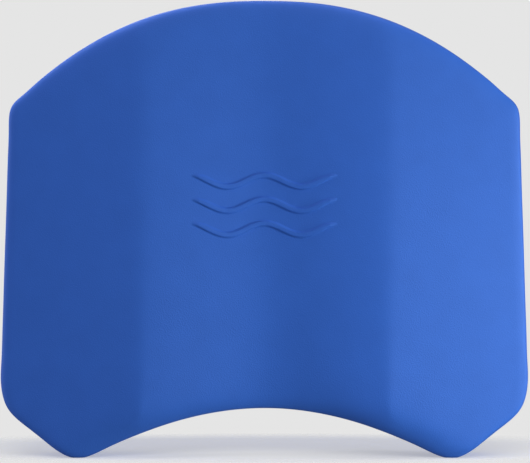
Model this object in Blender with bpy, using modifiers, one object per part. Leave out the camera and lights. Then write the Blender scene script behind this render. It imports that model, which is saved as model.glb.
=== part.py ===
"""Kickboard float: a moulded foam swimming board that stands on two rounded feet.

The board is three foam layers with a bond film between each two.
X runs across the width, Y through the thickness with the front at -Y, and Z is up from the feet.
"""

import math

import bmesh
import bpy
from mathutils import Vector

NAME = "kickboard_float"

# The outline, seen from the front, in metres.
HALF_WIDTH = 0.1712  # at the widest, low on the sides, before the bend rounds it off
FLANK_X = 0.1291  # where the line of the lower flank would meet the ground
FLANK_SLOPE = math.tan(math.radians(38.5))
FLANK_RADIUS = 0.030  # the bend from the flank into the side
ARCH_HEIGHT = 0.0314  # the arch between the feet, at its middle
ARCH_HALF_WIDTH = 0.113  # where the arch's curve would meet the ground
FOOT_ROUNDING = 0.0047  # how far the foot's tip is rounded off, before the ground cuts it flat
SHOULDER_X = 0.1639
SHOULDER_HEIGHT = 0.226
SHOULDER_RADIUS = 0.012
HEIGHT = 0.2945
CROWN_POWER = 2.38  # above 2: flatter in the middle than at the shoulders
CROWN_REACH = 0.010  # the stretch of the crown beside the shoulder that its bend is drawn to
OUTLINE_STEPS = 80  # points along half of the arch, and along half of the crown
FLANK_STEPS = 12  # points round the bends
SHOULDER_STEPS = 6

# The thickness, from the middle plane to one face, in metres.
RIDGE_X = 0.078  # the two upright ridges beside the thigh groove
RIDGE_LOW = 0.0252
RIDGE_TOP = 0.0180
GROOVE_LOW = 0.0105
GROOVE_TOP = 0.0120
EDGE_LOW = 0.0110
EDGE_TOP = 0.0090
TAPER_END = 0.300  # the height at which the thickness reaches its upper values
GROOVE_ROUND = 0.20  # how rounded the groove's bottom is: 0 is a sharp V

# The rounded rim.
RIM_BAND = 0.0055
RIM_TURN = 0.93  # where the face turns into the side wall, as a share of the thickness
ARCH_TURN = 0.62  # the same along the arch and under the feet, where the edge is rounder
ARCH_LEAD = 0.92  # the share that is left there where the turn begins
ARCH_WIDENING = 0.006  # how much further in the arch's turn begins beside the feet
ARCH_RIM_HEIGHT = 0.060  # the rim below this belongs to the arch and the feet
ARCH_RIM_BLEND = 0.010
CROWN_TURN = 0.82  # along the domed top the edge is a little rounder too
CROWN_LEAD = 0.97
CROWN_WIDENING = 0.002
CROWN_RIM_BLEND = 0.010
RIM_WALL = 0.45  # how far the side wall runs straight

# The layers, in metres from the middle plane.
BOND_PLANE = 0.0060
FILM_THICKNESS = 0.0004
GAP = 0.0003
FILM_CLEARANCE = 0.0008  # of the film above the ground
MARGIN = 0.020  # how far the boxes that cut out the layers reach beyond the board

# The raised emblem of three waves.
WAVE_LENGTH = 0.094
WAVE_HEIGHTS = (0.1795, 0.1640, 0.1485)
WAVE_SWING = 0.0036
WAVE_COUNT = 2.0
WAVE_WIDTH = 0.0036
WAVE_RAISED = 0.0012
WAVE_DROP = 1.4  # how far a wave's sides fall off from its crest, in heights: above 1 they sink in
WAVE_ROOT = 0.0025  # how deep a wave's body reaches into the board
WAVE_STEPS = 40  # faces along a wave
WAVE_STRIPS = 4  # faces across it

# The control cage.
INNER_COLUMNS = 6
OUTER_COLUMNS = 9
ROWS = 13
RIDGE_CREASE = 0.5  # at the feet; the ridges grow softer towards the top
RIDGE_SOFTENING = 3
FITTING_PASSES = 8  # enough for the smoothed outline to pass through its points
MERGE_DISTANCE = 0.00005

FOAM = {"color": (0.028, 0.135, 0.590, 1.0), "roughness": 0.60}
CORE_FOAM = {"color": (0.026, 0.128, 0.560, 1.0), "roughness": 0.65}
BOND = {"color": (0.019, 0.085, 0.390, 1.0), "roughness": 0.45}


def clear_scene():
    for obj in list(bpy.data.objects):
        bpy.data.objects.remove(obj, do_unlink=True)


def collection(name):
    made = bpy.data.collections.new(name)
    bpy.context.scene.collection.children.link(made)
    return made


def material(name, look):
    made = bpy.data.materials.new(name)
    made.use_nodes = True
    shader = made.node_tree.nodes["Principled BSDF"]
    shader.inputs["Base Color"].default_value = look["color"]
    shader.inputs["Roughness"].default_value = look["roughness"]
    shader.inputs["Metallic"].default_value = 0.0
    made.diffuse_color = look["color"]
    return made


def bottom_height(x):
    """The lower outline from the arch, round the foot and up the flank."""
    arch = ARCH_HEIGHT * (1.0 - (x / ARCH_HALF_WIDTH) ** 2)
    flank = FLANK_SLOPE * (x - FLANK_X)
    middle = (arch + flank) / 2.0
    half = abs(arch - flank) / 2.0
    return middle + (half**3 + FOOT_ROUNDING**3) ** (1.0 / 3.0)


def crown_height(x):
    return HEIGHT - (HEIGHT - SHOULDER_HEIGHT) * (abs(x) / SHOULDER_X) ** CROWN_POWER


def fillet(before, corner, after, radius, count):
    """Points of an arc that rounds off a corner between two straight lines."""
    back = (before - corner).normalized()
    ahead = (after - corner).normalized()
    half = back.angle(ahead) / 2.0
    centre = corner + (back + ahead).normalized() * (radius / math.sin(half))
    start = corner + back * (radius / math.tan(half)) - centre
    end = corner + ahead * (radius / math.tan(half)) - centre
    return [centre + start.lerp(end, i / count).normalized() * radius for i in range(count + 1)]


def half_outline():
    """The right half's outline from the arch's middle to the crown's, and its two bends."""
    corner = Vector((HALF_WIDTH, FLANK_SLOPE * (HALF_WIDTH - FLANK_X)))
    flank = Vector((FLANK_X, 0.0))
    shoulder = Vector((SHOULDER_X, SHOULDER_HEIGHT))
    crown = Vector((SHOULDER_X - CROWN_REACH, crown_height(SHOULDER_X - CROWN_REACH)))
    lower = fillet(flank, corner, shoulder, FLANK_RADIUS, FLANK_STEPS)
    upper = fillet(corner, shoulder, crown, SHOULDER_RADIUS, SHOULDER_STEPS)
    shares = [i / OUTLINE_STEPS for i in range(OUTLINE_STEPS)]
    low = [Vector((lower[0].x * s, bottom_height(lower[0].x * s))) for s in shares]
    high = [Vector((upper[-1].x * s, crown_height(upper[-1].x * s))) for s in reversed(shares)]
    return low, lower, upper, high


def evenly(points, count):
    """The given number of equal steps along a line of points."""
    lengths = [0.0]
    for a, b in zip(points, points[1:]):
        lengths.append(lengths[-1] + (b - a).length)
    made, at = [], 0
    for i in range(count + 1):
        want = lengths[-1] * i / count
        while at < len(points) - 2 and lengths[at + 1] < want:
            at += 1
        share = (want - lengths[at]) / (lengths[at + 1] - lengths[at])
        made.append(points[at].lerp(points[at + 1], min(max(share, 0.0), 1.0)))
    return made


def columns(points, height):
    """One edge's cage points: equal steps in x to the ridge, then equal steps along the curve."""
    inner = [RIDGE_X * i / INNER_COLUMNS for i in range(INNER_COLUMNS)]
    beyond = [Vector((RIDGE_X, height(RIDGE_X)))] + [p for p in points if p.x > RIDGE_X]
    return [Vector((x, height(x))) for x in inner] + evenly(beyond, OUTER_COLUMNS)


def pulled_out(points):
    """Control points of a closed smooth curve that passes through the given points."""
    count = len(points)
    made = list(points)
    for _ in range(FITTING_PASSES):
        near = [(made[i - 1] + 4.0 * made[i] + made[(i + 1) % count]) / 6.0 for i in range(count)]
        made = [m + (p - n) for m, p, n in zip(made, points, near)]
    return made


def border():
    """The cage's four edges: bottom, right side, top and left side."""
    low, lower, upper, high = half_outline()
    low_corner, high_corner = len(lower) // 2, len(upper) // 2
    bottom = columns(low + lower[: low_corner + 1], bottom_height)
    top = columns((upper[high_corner:] + high)[::-1], crown_height)
    side = evenly(lower[low_corner:] + upper[: high_corner + 1], ROWS)
    right = bottom + side[1:] + top[-2::-1]
    loop = pulled_out(right + [Vector((-p.x, p.y)) for p in right[-2:0:-1]])
    half = INNER_COLUMNS + OUTER_COLUMNS
    wide = 2 * half
    loop = loop[-half:] + loop[:-half]
    bottom = loop[: wide + 1]
    right = loop[wide : wide + ROWS + 1]
    top = loop[wide + ROWS : 2 * wide + ROWS + 1][::-1]
    left = (loop[2 * wide + ROWS :] + loop[:1])[::-1]
    return bottom, right, top, left


def blend(edges, column, row):
    """A point inside the cage, from the four edges around it."""
    bottom, right, top, left = edges
    s = column / (len(bottom) - 1)
    t = row / (len(left) - 1)
    across = left[row].lerp(right[row], s)
    up = bottom[column].lerp(top[column], t)
    corners = bottom[0].lerp(bottom[-1], s).lerp(top[0].lerp(top[-1], s), t)
    return across + up - corners


def half_thickness(x, z):
    """The distance from the middle plane to a face."""
    taper = min(max(z / TAPER_END, 0.0), 1.0)
    ridge = RIDGE_LOW + (RIDGE_TOP - RIDGE_LOW) * taper
    groove = GROOVE_LOW + (GROOVE_TOP - GROOVE_LOW) * taper
    edge = EDGE_LOW + (EDGE_TOP - EDGE_LOW) * taper
    if abs(x) <= RIDGE_X:
        rise = math.hypot(x / RIDGE_X, GROOVE_ROUND) - GROOVE_ROUND
        return groove + (ridge - groove) * rise / (math.hypot(1.0, GROOVE_ROUND) - GROOVE_ROUND)
    return ridge - (ridge - edge) * (abs(x) - RIDGE_X) / (HALF_WIDTH - RIDGE_X)


def flat_cage(bm):
    """A grid laid into the outline, with its ridge columns creased."""
    half = INNER_COLUMNS + OUTER_COLUMNS
    bmesh.ops.create_grid(bm, x_segments=2 * half, y_segments=ROWS, size=0.5)
    edges = border()
    crease = bm.edges.layers.float.new("crease_edge")
    for edge in bm.edges:
        a, b = (v.co for v in edge.verts)
        column = round((a.x + 0.5) * 2 * half)
        if abs(a.x - b.x) < 1e-6 and abs(column - half) == INNER_COLUMNS:
            edge[crease] = RIDGE_CREASE * (0.5 - (a.y + b.y) / 2.0) ** RIDGE_SOFTENING
    for vert in bm.verts:
        column = round((vert.co.x + 0.5) * 2 * half)
        row = round((vert.co.y + 0.5) * ROWS)
        at = blend(edges, column, row)
        vert.co = (at.x, 0.0, at.y)
    bm.normal_update()


def arch_share(at):
    """1 for a point along the arch's edge, 0 round the rest of the rim."""
    inward = min(max((FLANK_X - abs(at.x)) / ARCH_RIM_BLEND, 0.0), 1.0)
    return inward if at.z < ARCH_RIM_HEIGHT else 0.0


def crown_share(at):
    """1 for a point along the crown's edge, 0 below the shoulders."""
    return min(max((at.z - SHOULDER_HEIGHT) / CROWN_RIM_BLEND, 0.0), 1.0)


def give_thickness(bm, rim):
    """Move the flat cage's points out to the front face, turned back near the rim."""
    on_rim = {v for e in rim for v in e.verts}
    for vert in bm.verts:
        arch, crown = arch_share(vert.co), crown_share(vert.co)
        share = 1.0
        if vert in on_rim:
            share = RIM_TURN + (ARCH_TURN - RIM_TURN) * arch + (CROWN_TURN - RIM_TURN) * crown
        elif any(e.other_vert(vert) in on_rim for e in vert.link_edges):
            share = 1.0 + (ARCH_LEAD - 1.0) * arch + (CROWN_LEAD - 1.0) * crown
            vert.co.z += ARCH_WIDENING * arch * abs(vert.co.x) / FLANK_X - CROWN_WIDENING * crown
        vert.co.y = -share * half_thickness(vert.co.x, vert.co.z)


def side_wall(bm, rim, share):
    """Carry the rim's edges back to a share of the thickness, and return the new rim."""
    grown = bmesh.ops.extrude_edge_only(bm, edges=rim)["geom"]
    for item in grown:
        if isinstance(item, bmesh.types.BMVert):
            item.co.y = -share * half_thickness(item.co.x, item.co.z)
    return [item for item in grown if isinstance(item, bmesh.types.BMEdge)]


def cage():
    """The front half of the board's control cage, open at the middle plane."""
    bm = bmesh.new()
    flat_cage(bm)
    bmesh.ops.inset_region(bm, faces=bm.faces[:], thickness=RIM_BAND, use_even_offset=True, use_boundary=True)
    rim = [e for e in bm.edges if e.is_boundary]
    give_thickness(bm, rim)
    for share in (RIM_WALL, 0.0):
        rim = side_wall(bm, rim, share)
    bmesh.ops.recalc_face_normals(bm, faces=bm.faces[:])
    mesh = bpy.data.meshes.new("board_cage")
    bm.to_mesh(mesh)
    bm.free()
    return mesh


def slab(name, low, high, ground, cutters):
    """A box across the whole board between two distances from the middle plane."""
    bm = bmesh.new()
    bmesh.ops.create_cube(bm, size=1.0)
    top = HEIGHT + MARGIN
    for vert in bm.verts:
        vert.co.x *= 2.0 * (HALF_WIDTH + MARGIN)
        vert.co.y = low if vert.co.y < 0.0 else high
        vert.co.z = ground if vert.co.z < 0.0 else top
    mesh = bpy.data.meshes.new(name)
    bm.to_mesh(mesh)
    bm.free()
    return cutter(name, mesh, cutters)


def cutter(name, mesh, cutters):
    obj = bpy.data.objects.new(name, mesh)
    cutters.objects.link(obj)
    obj.display_type = "WIRE"
    obj.hide_render = True
    return obj


def boolean(obj, other, operation):
    made = obj.modifiers.new(operation.title() + "_" + other.name, "BOOLEAN")
    made.operation = operation
    made.solver = "EXACT"
    made.object = other


def layer(name, mesh, look, box, parts):
    """One layer: the whole board, kept only inside the layer's box."""
    obj = bpy.data.objects.new(name, mesh.copy())
    parts.objects.link(obj)
    obj.data.name = name
    obj.data.materials.append(look)
    for polygon in obj.data.polygons:
        polygon.use_smooth = True
    mirror = obj.modifiers.new("Mirror", "MIRROR")
    mirror.use_axis = (False, True, False)
    mirror.merge_threshold = MERGE_DISTANCE
    smooth = obj.modifiers.new("Subdivision", "SUBSURF")
    smooth.levels = 1
    smooth.render_levels = 1
    boolean(obj, box, "INTERSECT")
    return obj


def wave_point(x, level, side):
    """A point beside a wave's centre line, in the plane of the front."""
    turn = 2.0 * math.pi * WAVE_COUNT / WAVE_LENGTH
    swing = WAVE_SWING * math.cos(turn * x)
    slope = -WAVE_SWING * turn * math.sin(turn * x)
    length = math.hypot(1.0, slope)
    return x - side * slope / length, level + swing + side / length


def wave(name, level, cutters):
    """One raised wave: a pillowed ribbon that follows the groove's surface."""
    bm = bmesh.new()
    bmesh.ops.create_grid(bm, x_segments=WAVE_STEPS, y_segments=WAVE_STRIPS, size=0.5)
    for vert in bm.verts:
        side = vert.co.y * 2.0
        x, z = wave_point(vert.co.x * WAVE_LENGTH, level, side * WAVE_WIDTH / 2.0)
        raised = WAVE_RAISED * (1.0 - WAVE_DROP * side * side)
        vert.co = (x, -half_thickness(x, z) - raised, z)
    grown = bmesh.ops.extrude_face_region(bm, geom=bm.faces[:])
    for item in grown["geom"]:
        if isinstance(item, bmesh.types.BMVert):
            item.co.y = -half_thickness(item.co.x, item.co.z) + WAVE_ROOT
    bmesh.ops.recalc_face_normals(bm, faces=bm.faces[:])
    mesh = bpy.data.meshes.new(name)
    bm.to_mesh(mesh)
    bm.free()
    return cutter(name, mesh, cutters)


def main():
    clear_scene()
    parts = collection(NAME)
    cutters = collection(NAME + "_cutters")
    foam = material("blue_foam_skin", FOAM)
    core = material("blue_foam_core", CORE_FOAM)
    bond = material("bond_film", BOND)
    mesh = cage()
    far = RIDGE_LOW + MARGIN
    film = FILM_THICKNESS / 2.0
    inner = BOND_PLANE - film - GAP
    outer = BOND_PLANE + film + GAP
    layers = (
        ("front_face_layer", foam, -far, -outer, 0.0),
        ("front_bond_film", bond, -BOND_PLANE - film, -BOND_PLANE + film, FILM_CLEARANCE),
        ("core_layer", core, -inner, inner, 0.0),
        ("rear_bond_film", bond, BOND_PLANE - film, BOND_PLANE + film, FILM_CLEARANCE),
        ("rear_face_layer", foam, outer, far, 0.0),
    )
    made = {}
    for name, look, low, high, ground in layers:
        box = slab(name + "_box", low, high, ground, cutters)
        made[name] = layer(name, mesh, look, box, parts)
    for i, level in enumerate(WAVE_HEIGHTS):
        boolean(made["front_face_layer"], wave(f"wave_{i + 1}", level, cutters), "UNION")
    bpy.data.meshes.remove(mesh)


main()
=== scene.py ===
"""The looks of the kickboard float: foam layers, their bond lines, light and camera."""

import math

import bmesh
import bpy
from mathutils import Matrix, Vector, noise

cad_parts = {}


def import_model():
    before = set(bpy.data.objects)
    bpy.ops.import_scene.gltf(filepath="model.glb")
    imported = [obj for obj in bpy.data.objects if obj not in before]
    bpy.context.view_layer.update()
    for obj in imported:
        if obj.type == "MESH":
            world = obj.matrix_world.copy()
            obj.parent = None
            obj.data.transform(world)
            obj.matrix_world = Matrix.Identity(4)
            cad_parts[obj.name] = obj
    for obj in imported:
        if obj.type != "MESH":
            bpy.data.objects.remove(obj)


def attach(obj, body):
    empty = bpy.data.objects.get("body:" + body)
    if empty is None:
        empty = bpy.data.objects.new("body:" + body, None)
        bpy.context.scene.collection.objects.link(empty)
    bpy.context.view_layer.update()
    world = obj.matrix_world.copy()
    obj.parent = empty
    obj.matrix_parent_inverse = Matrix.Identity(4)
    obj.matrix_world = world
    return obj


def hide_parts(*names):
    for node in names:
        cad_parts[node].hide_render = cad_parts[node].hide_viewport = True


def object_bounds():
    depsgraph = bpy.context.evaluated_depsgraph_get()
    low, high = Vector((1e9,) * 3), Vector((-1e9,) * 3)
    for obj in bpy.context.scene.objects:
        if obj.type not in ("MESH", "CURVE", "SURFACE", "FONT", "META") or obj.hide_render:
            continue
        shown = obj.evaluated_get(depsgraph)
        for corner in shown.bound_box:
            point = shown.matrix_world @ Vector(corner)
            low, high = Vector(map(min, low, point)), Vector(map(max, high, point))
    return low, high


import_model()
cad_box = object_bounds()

# The board's own sizes, in metres, taken from the CAD model's box. The widest corner is rounded
# off and the ridges are smoothed down, so both begin a little beyond the box.
ROUNDED_OFF_SIDE = 0.00054
SMOOTHED_OFF_RIDGE = 0.0016
HALF_WIDTH = (cad_box[1][0] - cad_box[0][0]) / 2.0 + ROUNDED_OFF_SIDE
HEIGHT = cad_box[1][2]
RIDGE_LOW = (cad_box[1][1] - cad_box[0][1]) / 2.0 + SMOOTHED_OFF_RIDGE

# The outline, seen from the front.
FLANK_X = 0.1291  # where the line of the lower flank would meet the ground
FLANK_SLOPE = math.tan(math.radians(38.5))
FLANK_RADIUS = 0.030  # the bend from the flank into the side
ARCH_HEIGHT = 0.0314  # the arch between the feet, at its middle
ARCH_HALF_WIDTH = 0.113  # where the arch's curve would meet the ground
FOOT_ROUNDING = 0.0047  # how far the foot's tip is rounded off, before the ground cuts it flat
SHOULDER_X = 0.1639
SHOULDER_HEIGHT = 0.226
SHOULDER_RADIUS = 0.012
CROWN_POWER = 2.38  # above 2: flatter in the middle than at the shoulders
CROWN_REACH = 0.010  # the stretch of the crown beside the shoulder that its bend is drawn to
OUTLINE_STEPS = 80  # points along half of the arch, and along half of the crown
FLANK_STEPS = 12  # points round the bends
SHOULDER_STEPS = 6

# The thickness, from the middle plane to one face.
RIDGE_X = 0.078  # the two upright ridges beside the thigh groove
RIDGE_TOP = 0.0180
GROOVE_LOW = 0.0105
GROOVE_TOP = 0.0120
EDGE_LOW = 0.0110
EDGE_TOP = 0.0090
TAPER_END = 0.300  # the height at which the thickness reaches its upper values
GROOVE_ROUND = 0.20  # how rounded the groove's bottom is: 0 is a sharp V

# The rounded rim.
RIM_BAND = 0.0055
RIM_TURN = 0.93  # where the face turns into the side wall, as a share of the thickness
ARCH_TURN = 0.62  # the same along the arch and under the feet, where the edge is rounder
ARCH_LEAD = 0.92  # the share that is left there where the turn begins
ARCH_WIDENING = 0.006  # how much further in the arch's turn begins beside the feet
ARCH_RIM_HEIGHT = 0.060  # the rim below this belongs to the arch and the feet
ARCH_RIM_BLEND = 0.010
CROWN_TURN = 0.82  # along the domed top the edge is a little rounder too
CROWN_LEAD = 0.97
CROWN_WIDENING = 0.002
CROWN_RIM_BLEND = 0.010
RIM_WALL = 0.45  # how far the side wall runs straight

# The control cage.
INNER_COLUMNS = 6
OUTER_COLUMNS = 9
ROWS = 13
RIDGE_CREASE = 0.5  # at the feet; the ridges grow softer towards the top
RIDGE_SOFTENING = 3
SMOOTHING = 3
FITTING_PASSES = 8  # enough for the smoothed outline to pass through its points
MERGE_DISTANCE = 0.00005
SHARP_EDGE = math.radians(40.0)

# The layers, in metres from the middle plane. The films are drawn thicker than in the CAD model,
# with narrower gaps, so that the joints read as fine lines and not as slits.
BOND_PLANE = 0.006
HALF_FILM = 0.00040
GAP = 0.00010
FILM_CLEARANCE = 0.0008  # of the film above the ground
FAR = 0.05  # beyond either face

# The raised emblem: three waves.
WAVE_HALF = 0.047
WAVE_HEIGHTS = (0.1795, 0.1640, 0.1485)
WAVE_SWING = 0.0036
WAVE_COUNT = 2.0
WAVE_TURN = 2.0 * math.pi * WAVE_COUNT / (2.0 * WAVE_HALF)
WAVE_WIDTH = 0.0034
WAVE_SOFT = 0.0006  # half the width of a wave's sloping side
WAVE_END = 0.010  # the length over which a wave runs out
WAVE_RAISED = 0.0012

# The patch of finer faces that holds the emblem.
PATCH_BESIDE = 0.006  # beyond the waves' ends
PATCH_ABOVE = 0.012  # above and below the waves
PATCH_FRONT = -0.008  # only faces in front of this
PATCH_CUTS = 4

# Unevenness of the moulded foam.
SWELL = 0.00012
SWELL_SIZE = 0.045
SWELL_FROM = 0.004  # the feet below this height stay flat

# Foam looks: the darker and the lighter end of the mottle, and the roughness.
SKIN_LOOK = (0.0275, 0.124, 0.605, 1.0), (0.0320, 0.141, 0.680, 1.0), 0.60
CORE_LOOK = (0.0260, 0.117, 0.580, 1.0), (0.0305, 0.134, 0.650, 1.0), 0.65
BOND_LOOK = (0.018, 0.080, 0.370, 1.0), (0.021, 0.090, 0.410, 1.0), 0.50

# The studio.
FLOOR_RADIUS = 0.6
FLOOR_DROP = 0.0002  # keeps the floor just under the feet
FLOOR_STEPS = 96
FLOOR_GLOW = 0.38  # the floor's own brightness to the camera, beside what the lights give it
FLOOR_OVAL = (0.20, 0.045, 1.0)  # the oval that the floor's fading is measured by
FLOOR_OVAL_MIDDLE = (0.0, 0.030, 0.0)
FADE_FROM = 0.9  # in ovals from the oval's middle
FADE_TO = 1.6
BACKDROP_SEEN = 0.7835
BACKDROP_LIT = 0.215
BOARD_MIDDLE = (0.0, 0.0, 0.13)
BOARD_CROWN = (0.0, 0.0, 0.27)
RIGHT_HALF = (0.10, 0.0, 0.10)
SIDE_WALLS = (0.0, -0.015, 0.12)
FLOOR_MIDDLE = (0.0, 0.0, 0.0)
WHITE = (1.0, 1.0, 1.0)
PALE_GREEN = (0.95, 1.0, 0.84)

# The soft lights: name, place, what it faces, width, height, power and tint.
BOARD_LIGHTS = (
    ("right_near", (0.32, -0.30, 0.08), RIGHT_HALF, 0.15, 0.20, 0.61, PALE_GREEN),
    ("right_front", (0.45, -0.45, 0.12), RIGHT_HALF, 0.20, 0.30, 0.36, PALE_GREEN),
    ("right_strip", (1.5, -0.42, 0.05), SIDE_WALLS, 0.12, 0.30, 12.0, PALE_GREEN),
    ("left_strip", (-1.5, -0.08, 0.15), SIDE_WALLS, 0.08, 0.60, 5.6, WHITE),
    ("front_overhead", (0.0, -0.9, 1.1), BOARD_MIDDLE, 0.8, 0.6, 3.3, WHITE),
    ("top_left", (-0.6, 0.1, 0.9), BOARD_MIDDLE, 0.5, 0.5, 3.5, WHITE),
    ("crown", (0.0, 0.10, 0.65), BOARD_CROWN, 0.5, 0.1, 0.7, WHITE),
    ("rear", (-0.5, 1.5, 0.5), BOARD_MIDDLE, 1.0, 0.8, 9.0, WHITE),
)
FLOOR_LIGHTS = (
    ("floor_light", (0.10, -0.17, 1.2), FLOOR_MIDDLE, 2.0, 0.14, 3.0, WHITE),
    ("floor_front", (0.15, -0.90, 0.90), FLOOR_MIDDLE, 1.5, 0.5, 4.2, WHITE),
)

# The camera, at the photograph's viewing angle.
CAMERA_DISTANCE = 2.2
CAMERA_ELEVATION = math.radians(5.0)
CAMERA_AIM = (0.0004, 0.0, 0.1458)
CAMERA_SENSOR = 36.0
CAMERA_LENS = 231.2


def bottom_height(x):
    """The lower outline from the arch, round the foot and up the flank."""
    arch = ARCH_HEIGHT * (1.0 - (x / ARCH_HALF_WIDTH) ** 2)
    flank = FLANK_SLOPE * (x - FLANK_X)
    half = abs(arch - flank) / 2.0
    return (arch + flank) / 2.0 + (half**3 + FOOT_ROUNDING**3) ** (1.0 / 3.0)


def crown_height(x):
    return HEIGHT - (HEIGHT - SHOULDER_HEIGHT) * (abs(x) / SHOULDER_X) ** CROWN_POWER


def fillet(before, corner, after, radius, count):
    """Points of an arc that rounds off a corner between two straight lines."""
    back = (before - corner).normalized()
    ahead = (after - corner).normalized()
    half = back.angle(ahead) / 2.0
    centre = corner + (back + ahead).normalized() * (radius / math.sin(half))
    start = corner + back * (radius / math.tan(half)) - centre
    end = corner + ahead * (radius / math.tan(half)) - centre
    return [centre + start.lerp(end, i / count).normalized() * radius for i in range(count + 1)]


def half_outline():
    """The right half's outline from the arch's middle to the crown's, and its two bends."""
    corner = Vector((HALF_WIDTH, FLANK_SLOPE * (HALF_WIDTH - FLANK_X)))
    flank = Vector((FLANK_X, 0.0))
    shoulder = Vector((SHOULDER_X, SHOULDER_HEIGHT))
    crown = Vector((SHOULDER_X - CROWN_REACH, crown_height(SHOULDER_X - CROWN_REACH)))
    lower = fillet(flank, corner, shoulder, FLANK_RADIUS, FLANK_STEPS)
    upper = fillet(corner, shoulder, crown, SHOULDER_RADIUS, SHOULDER_STEPS)
    shares = [i / OUTLINE_STEPS for i in range(OUTLINE_STEPS)]
    low = [Vector((lower[0].x * s, bottom_height(lower[0].x * s))) for s in shares]
    high = [Vector((upper[-1].x * s, crown_height(upper[-1].x * s))) for s in reversed(shares)]
    return low, lower, upper, high


def evenly(points, count):
    """The given number of equal steps along a line of points."""
    lengths = [0.0]
    for a, b in zip(points, points[1:]):
        lengths.append(lengths[-1] + (b - a).length)
    made, at = [], 0
    for i in range(count + 1):
        want = lengths[-1] * i / count
        while at < len(points) - 2 and lengths[at + 1] < want:
            at += 1
        share = (want - lengths[at]) / (lengths[at + 1] - lengths[at])
        made.append(points[at].lerp(points[at + 1], min(max(share, 0.0), 1.0)))
    return made


def columns(points, height):
    """One edge's cage points: equal steps in x to the ridge, then equal steps along the curve."""
    inner = [RIDGE_X * i / INNER_COLUMNS for i in range(INNER_COLUMNS)]
    beyond = [Vector((RIDGE_X, height(RIDGE_X)))] + [p for p in points if p.x > RIDGE_X]
    return [Vector((x, height(x))) for x in inner] + evenly(beyond, OUTER_COLUMNS)


def pulled_out(points):
    """Control points of a closed smooth curve that passes through the given points."""
    count = len(points)
    made = list(points)
    for _ in range(FITTING_PASSES):
        near = [(made[i - 1] + 4.0 * made[i] + made[(i + 1) % count]) / 6.0 for i in range(count)]
        made = [m + (p - n) for m, p, n in zip(made, points, near)]
    return made


def border():
    """The cage's four edges: bottom, right side, top and left side."""
    low, lower, upper, high = half_outline()
    low_corner, high_corner = len(lower) // 2, len(upper) // 2
    bottom = columns(low + lower[: low_corner + 1], bottom_height)
    top = columns((upper[high_corner:] + high)[::-1], crown_height)
    side = evenly(lower[low_corner:] + upper[: high_corner + 1], ROWS)
    right = bottom + side[1:] + top[-2::-1]
    loop = pulled_out(right + [Vector((-p.x, p.y)) for p in right[-2:0:-1]])
    half = INNER_COLUMNS + OUTER_COLUMNS
    wide = 2 * half
    loop = loop[-half:] + loop[:-half]
    bottom = loop[: wide + 1]
    right = loop[wide : wide + ROWS + 1]
    top = loop[wide + ROWS : 2 * wide + ROWS + 1][::-1]
    left = (loop[2 * wide + ROWS :] + loop[:1])[::-1]
    return bottom, right, top, left


def blend(edges, column, row):
    """A point inside the cage, from the four edges around it."""
    bottom, right, top, left = edges
    s = column / (len(bottom) - 1)
    t = row / (len(left) - 1)
    across = left[row].lerp(right[row], s)
    up = bottom[column].lerp(top[column], t)
    corners = bottom[0].lerp(bottom[-1], s).lerp(top[0].lerp(top[-1], s), t)
    return across + up - corners


def half_thickness(x, z):
    """The distance from the middle plane to a face."""
    taper = min(max(z / TAPER_END, 0.0), 1.0)
    ridge = RIDGE_LOW + (RIDGE_TOP - RIDGE_LOW) * taper
    groove = GROOVE_LOW + (GROOVE_TOP - GROOVE_LOW) * taper
    edge = EDGE_LOW + (EDGE_TOP - EDGE_LOW) * taper
    if abs(x) <= RIDGE_X:
        rise = math.hypot(x / RIDGE_X, GROOVE_ROUND) - GROOVE_ROUND
        return groove + (ridge - groove) * rise / (math.hypot(1.0, GROOVE_ROUND) - GROOVE_ROUND)
    return ridge - (ridge - edge) * (abs(x) - RIDGE_X) / (HALF_WIDTH - RIDGE_X)


def flat_cage(bm):
    """A grid laid into the outline, with its ridge columns creased."""
    half = INNER_COLUMNS + OUTER_COLUMNS
    bmesh.ops.create_grid(bm, x_segments=2 * half, y_segments=ROWS, size=0.5)
    edges = border()
    crease = bm.edges.layers.float.new("crease_edge")
    for edge in bm.edges:
        a, b = (v.co for v in edge.verts)
        column = round((a.x + 0.5) * 2 * half)
        if abs(a.x - b.x) < 1e-6 and abs(column - half) == INNER_COLUMNS:
            edge[crease] = RIDGE_CREASE * (0.5 - (a.y + b.y) / 2.0) ** RIDGE_SOFTENING
    for vert in bm.verts:
        column = round((vert.co.x + 0.5) * 2 * half)
        row = round((vert.co.y + 0.5) * ROWS)
        at = blend(edges, column, row)
        vert.co = (at.x, 0.0, at.y)
    bm.normal_update()


def arch_share(at):
    """1 for a point along the arch's edge, 0 round the rest of the rim."""
    inward = min(max((FLANK_X - abs(at.x)) / ARCH_RIM_BLEND, 0.0), 1.0)
    return inward if at.z < ARCH_RIM_HEIGHT else 0.0


def crown_share(at):
    """1 for a point along the crown's edge, 0 below the shoulders."""
    return min(max((at.z - SHOULDER_HEIGHT) / CROWN_RIM_BLEND, 0.0), 1.0)


def give_thickness(bm, rim):
    """Move the flat cage's points out to the front face, turned back near the rim."""
    on_rim = {v for e in rim for v in e.verts}
    for vert in bm.verts:
        arch, crown = arch_share(vert.co), crown_share(vert.co)
        share = 1.0
        if vert in on_rim:
            share = RIM_TURN + (ARCH_TURN - RIM_TURN) * arch + (CROWN_TURN - RIM_TURN) * crown
        elif any(e.other_vert(vert) in on_rim for e in vert.link_edges):
            share = 1.0 + (ARCH_LEAD - 1.0) * arch + (CROWN_LEAD - 1.0) * crown
            vert.co.z += ARCH_WIDENING * arch * abs(vert.co.x) / FLANK_X - CROWN_WIDENING * crown
        vert.co.y = -share * half_thickness(vert.co.x, vert.co.z)


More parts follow.
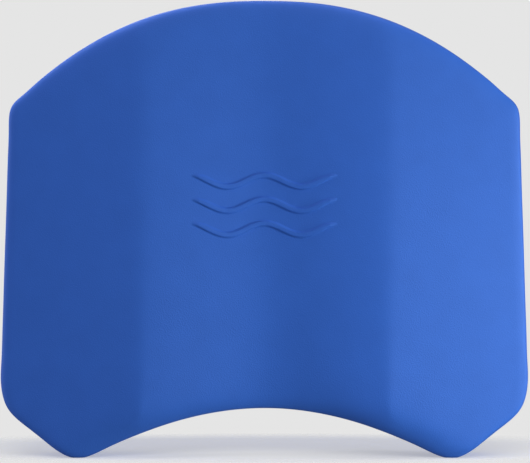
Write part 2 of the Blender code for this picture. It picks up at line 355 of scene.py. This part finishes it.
def side_wall(bm, rim, share):
    """Carry the rim's edges back to a share of the thickness, and return the new rim."""
    grown = bmesh.ops.extrude_edge_only(bm, edges=rim)["geom"]
    for item in grown:
        if isinstance(item, bmesh.types.BMVert):
            item.co.y = -share * half_thickness(item.co.x, item.co.z)
    return [item for item in grown if isinstance(item, bmesh.types.BMEdge)]


def cage():
    """The front half of the board's control cage, open at the middle plane."""
    bm = bmesh.new()
    flat_cage(bm)
    faces = bm.faces[:]
    bmesh.ops.inset_region(bm, faces=faces, thickness=RIM_BAND, use_even_offset=True, use_boundary=True)
    rim = [e for e in bm.edges if e.is_boundary]
    give_thickness(bm, rim)
    for share in (RIM_WALL, 0.0):
        rim = side_wall(bm, rim, share)
    bmesh.ops.recalc_face_normals(bm, faces=bm.faces[:])
    mesh = bpy.data.meshes.new("board_cage")
    bm.to_mesh(mesh)
    bm.free()
    return mesh


def smooth_body():
    """The whole board as one smooth closed mesh."""
    obj = bpy.data.objects.new("board_cage", cage())
    bpy.context.scene.collection.objects.link(obj)
    mirror = obj.modifiers.new("Mirror", "MIRROR")
    mirror.use_axis = (False, True, False)
    mirror.merge_threshold = MERGE_DISTANCE
    smooth = obj.modifiers.new("Subdivision", "SUBSURF")
    smooth.levels = SMOOTHING
    smooth.render_levels = SMOOTHING
    shaped = obj.evaluated_get(bpy.context.evaluated_depsgraph_get())
    bm = bmesh.new()
    bm.from_mesh(shaped.to_mesh())
    shaped.to_mesh_clear()
    bpy.data.objects.remove(obj, do_unlink=True)
    return bm


def cut(bm, at, outward):
    """Take away what lies beyond a plane, and close the cut."""
    geom = bm.verts[:] + bm.edges[:] + bm.faces[:]
    result = bmesh.ops.bisect_plane(bm, geom=geom, plane_co=at, plane_no=outward, clear_outer=True)
    rim = [e for e in result["geom_cut"] if isinstance(e, bmesh.types.BMEdge)]
    bmesh.ops.holes_fill(bm, edges=rim, sides=0)


def layer_mesh(name, body, low, high, ground):
    """The part of the board between two distances from the middle plane."""
    bm = body.copy()
    cut(bm, (0, 0, ground), (0, 0, -1))
    cut(bm, (0, low, 0), (0, -1, 0))
    cut(bm, (0, high, 0), (0, 1, 0))
    bmesh.ops.recalc_face_normals(bm, faces=bm.faces[:])
    mesh = bpy.data.meshes.new(name)
    bm.to_mesh(mesh)
    bm.free()
    for polygon in mesh.polygons:
        polygon.use_smooth = True
    mesh.set_sharp_from_angle(angle=SHARP_EDGE)
    return mesh


def wave_height(x, z):
    """How far the emblem stands up at a point of the front. The waves run out softly."""
    swing = WAVE_SWING * math.cos(WAVE_TURN * x)
    slope = WAVE_SWING * WAVE_TURN * math.sin(WAVE_TURN * x)
    away = min(abs(z - level - swing) for level in WAVE_HEIGHTS) / math.hypot(1.0, slope)
    fade = min(max((WAVE_HALF - abs(x)) / WAVE_END, 0.0), 1.0)
    width = WAVE_WIDTH * math.sqrt(fade)
    share = min(max((width / 2.0 + WAVE_SOFT - away) / (2.0 * WAVE_SOFT), 0.0), 1.0)
    return WAVE_RAISED * min(1.0, 2.0 * fade) * share * share * (3.0 - 2.0 * share)


def in_patch(at):
    """Whether a point lies on the front, round the emblem."""
    beside = abs(at.x) < WAVE_HALF + PATCH_BESIDE
    level = WAVE_HEIGHTS[-1] - PATCH_ABOVE < at.z < WAVE_HEIGHTS[0] + PATCH_ABOVE
    return at.y < PATCH_FRONT and beside and level


def emboss(body):
    """Raise the emblem on the front, in a patch of finer faces."""
    patch = [f for f in body.faces if in_patch(f.calc_center_median())]
    edges = {e for f in patch for e in f.edges}
    bmesh.ops.subdivide_edges(body, edges=list(edges), cuts=PATCH_CUTS, use_grid_fill=True)
    for vert in body.verts:
        if in_patch(vert.co):
            vert.co.y -= wave_height(vert.co.x, vert.co.z)


def swell(body):
    """A very slight unevenness of both faces, as moulded foam has."""
    for vert in body.verts:
        if vert.co.z > SWELL_FROM:
            lift = noise.noise(Vector(vert.co) / SWELL_SIZE)
            vert.co += vert.normal * (SWELL * lift)


def piece(name, mesh, look, node):
    obj = bpy.data.objects.new(name, mesh)
    bpy.context.scene.collection.objects.link(obj)
    obj.data.materials.append(look)
    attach(obj, "root")
    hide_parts(node)
    return obj


def new_material(name):
    """A material with nodes. Returns it with its nodes, links and main shader."""
    made = bpy.data.materials.new(name)
    made.use_nodes = True
    nodes, links = made.node_tree.nodes, made.node_tree.links
    return made, nodes, links, nodes["Principled BSDF"]


def foam_material(name, look):
    """Closed-cell foam with a fine pebbled skin."""
    dark, light, roughness = look
    made, nodes, links, shader = new_material(name)
    shader.inputs["Roughness"].default_value = roughness
    shader.inputs["Specular IOR Level"].default_value = 0.3
    place = nodes.new("ShaderNodeTexCoord")
    mottle = nodes.new("ShaderNodeTexNoise")
    mottle.inputs["Scale"].default_value = 55.0
    mottle.inputs["Detail"].default_value = 6.0
    links.new(place.outputs["Object"], mottle.inputs["Vector"])
    tint = nodes.new("ShaderNodeMix")
    tint.data_type = "RGBA"
    tint.inputs["A"].default_value = dark
    tint.inputs["B"].default_value = light
    links.new(mottle.outputs["Fac"], tint.inputs["Factor"])
    links.new(tint.outputs["Result"], shader.inputs["Base Color"])
    cells = nodes.new("ShaderNodeTexVoronoi")
    cells.inputs["Scale"].default_value = 1400.0
    links.new(place.outputs["Object"], cells.inputs["Vector"])
    bump = nodes.new("ShaderNodeBump")
    bump.inputs["Strength"].default_value = 0.25
    bump.inputs["Distance"].default_value = 0.0003
    links.new(cells.outputs["Distance"], bump.inputs["Height"])
    links.new(bump.outputs["Normal"], shader.inputs["Normal"])
    return made


def floor():
    """A pale floor that fades into the backdrop's colour away from the board."""
    bm = bmesh.new()
    bmesh.ops.create_circle(bm, cap_ends=True, radius=FLOOR_RADIUS, segments=FLOOR_STEPS)
    mesh = bpy.data.meshes.new("studio_floor")
    bm.to_mesh(mesh)
    bm.free()
    mesh.materials.append(floor_material())
    obj = bpy.data.objects.new("studio_floor", mesh)
    obj.location.z = -FLOOR_DROP
    obj.visible_diffuse = False
    bpy.context.scene.collection.objects.link(obj)
    return obj


def floor_material():
    """Matte and pale beside the board, and clear beyond an oval round it."""
    made, nodes, links, shader = new_material("studio_floor")
    shader.inputs["Base Color"].default_value = (0.80, 0.80, 0.80, 1.0)
    shader.inputs["Roughness"].default_value = 0.9
    shader.inputs["Specular IOR Level"].default_value = 0.0
    place = nodes.new("ShaderNodeTexCoord")
    spread = nodes.new("ShaderNodeMapping")
    spread.vector_type = "TEXTURE"
    spread.inputs["Location"].default_value = FLOOR_OVAL_MIDDLE
    spread.inputs["Scale"].default_value = FLOOR_OVAL
    links.new(place.outputs["Object"], spread.inputs["Vector"])
    length = nodes.new("ShaderNodeVectorMath")
    length.operation = "LENGTH"
    links.new(spread.outputs["Vector"], length.inputs[0])
    fade = nodes.new("ShaderNodeMapRange")
    fade.interpolation_type = "SMOOTHSTEP"
    fade.inputs["From Min"].default_value = FADE_FROM
    fade.inputs["From Max"].default_value = FADE_TO
    fade.inputs["To Min"].default_value = 1.0
    fade.inputs["To Max"].default_value = 0.0
    links.new(length.outputs["Value"], fade.inputs["Value"])
    path = nodes.new("ShaderNodeLightPath")
    glow = nodes.new("ShaderNodeMath")
    glow.operation = "MULTIPLY"
    glow.inputs[1].default_value = FLOOR_GLOW
    links.new(path.outputs["Is Camera Ray"], glow.inputs[0])
    shader.inputs["Emission Color"].default_value = (1.0, 1.0, 1.0, 1.0)
    links.new(glow.outputs["Value"], shader.inputs["Emission Strength"])
    clear = nodes.new("ShaderNodeBsdfTransparent")
    mix = nodes.new("ShaderNodeMixShader")
    links.new(fade.outputs["Result"], mix.inputs["Fac"])
    links.new(clear.outputs["BSDF"], mix.inputs[1])
    links.new(shader.outputs["BSDF"], mix.inputs[2])
    links.new(mix.outputs["Shader"], nodes["Material Output"].inputs["Surface"])
    return made


def softbox(name, at, towards, wide, tall, power, tint, reaches):
    """A rectangular light that faces a point, and reaches only one collection."""
    light = bpy.data.lights.new(name, "AREA")
    light.shape = "RECTANGLE"
    light.size = wide
    light.size_y = tall
    light.energy = power
    light.color = tint
    obj = bpy.data.objects.new(name, light)
    obj.location = at
    obj.rotation_euler = (Vector(towards) - Vector(at)).to_track_quat("-Z", "Y").to_euler()
    obj.light_linking.receiver_collection = reaches
    bpy.context.scene.collection.objects.link(obj)


def only_these(name, objects):
    """A collection of the objects that a light reaches."""
    made = bpy.data.collections.new(name)
    for obj in objects:
        made.objects.link(obj)
    return made


def world():
    """A plain pale surround, seen at one brightness and lighting the board at another."""
    made = bpy.data.worlds.new("studio")
    bpy.context.scene.world = made
    made.use_nodes = True
    nodes, links = made.node_tree.nodes, made.node_tree.links
    plain = nodes["Background"]
    plain.inputs["Color"].default_value = (BACKDROP_LIT, BACKDROP_LIT, BACKDROP_LIT, 1.0)
    backdrop = nodes.new("ShaderNodeBackground")
    backdrop.inputs["Color"].default_value = (BACKDROP_SEEN, BACKDROP_SEEN, BACKDROP_SEEN, 1.0)
    path = nodes.new("ShaderNodeLightPath")
    mix = nodes.new("ShaderNodeMixShader")
    links.new(path.outputs["Is Camera Ray"], mix.inputs["Fac"])
    links.new(plain.outputs["Background"], mix.inputs[1])
    links.new(backdrop.outputs["Background"], mix.inputs[2])
    links.new(mix.outputs["Shader"], nodes["World Output"].inputs["Surface"])


def camera():
    """A long lens, square to the front and a little above it."""
    made = bpy.data.cameras.new("camera")
    made.sensor_width = CAMERA_SENSOR
    made.lens = CAMERA_LENS
    obj = bpy.data.objects.new("camera", made)
    away = Vector((0.0, -math.cos(CAMERA_ELEVATION), math.sin(CAMERA_ELEVATION)))
    obj.location = Vector(CAMERA_AIM) + away * CAMERA_DISTANCE
    obj.rotation_euler = (-away).to_track_quat("-Z", "Y").to_euler()
    bpy.context.scene.collection.objects.link(obj)
    bpy.context.scene.camera = obj


def foam_layer(name, node, look, body, low, high):
    """A layer of foam between two distances from the middle plane."""
    made = piece(name, layer_mesh(name, body, low, high, 0.0), look, node)
    return made


def bond_seam(name, node, look, body, plane):
    """A film of adhesive, a little clear of the ground."""
    mesh = layer_mesh(name, body, plane - HALF_FILM, plane + HALF_FILM, FILM_CLEARANCE)
    return piece(name, mesh, look, node)


def build_board():
    """The five pieces, front to rear."""
    skin = foam_material("blue_foam_skin", SKIN_LOOK)
    core = foam_material("blue_foam_core", CORE_LOOK)
    glue = foam_material("bond_film", BOND_LOOK)
    body = smooth_body()
    emboss(body)
    body.normal_update()
    swell(body)
    inner = BOND_PLANE - HALF_FILM - GAP
    outer = BOND_PLANE + HALF_FILM + GAP
    board = [
        foam_layer("front_foam", "front_face_layer", skin, body, -FAR, -outer),
        bond_seam("front_bond_seam", "front_bond_film", glue, body, -BOND_PLANE),
        foam_layer("core_foam", "core_layer", core, body, -inner, inner),
        bond_seam("rear_bond_seam", "rear_bond_film", glue, body, BOND_PLANE),
        foam_layer("rear_foam", "rear_face_layer", skin, body, outer, FAR),
    ]
    body.free()
    return board


def main():
    on_board = only_these("board", build_board())
    on_floor = only_these("stage", [floor()])
    world()
    for light in BOARD_LIGHTS:
        softbox(*light, on_board)
    for light in FLOOR_LIGHTS:
        softbox(*light, on_floor)
    bpy.context.scene.view_settings.view_transform = "Standard"
    camera()


main()
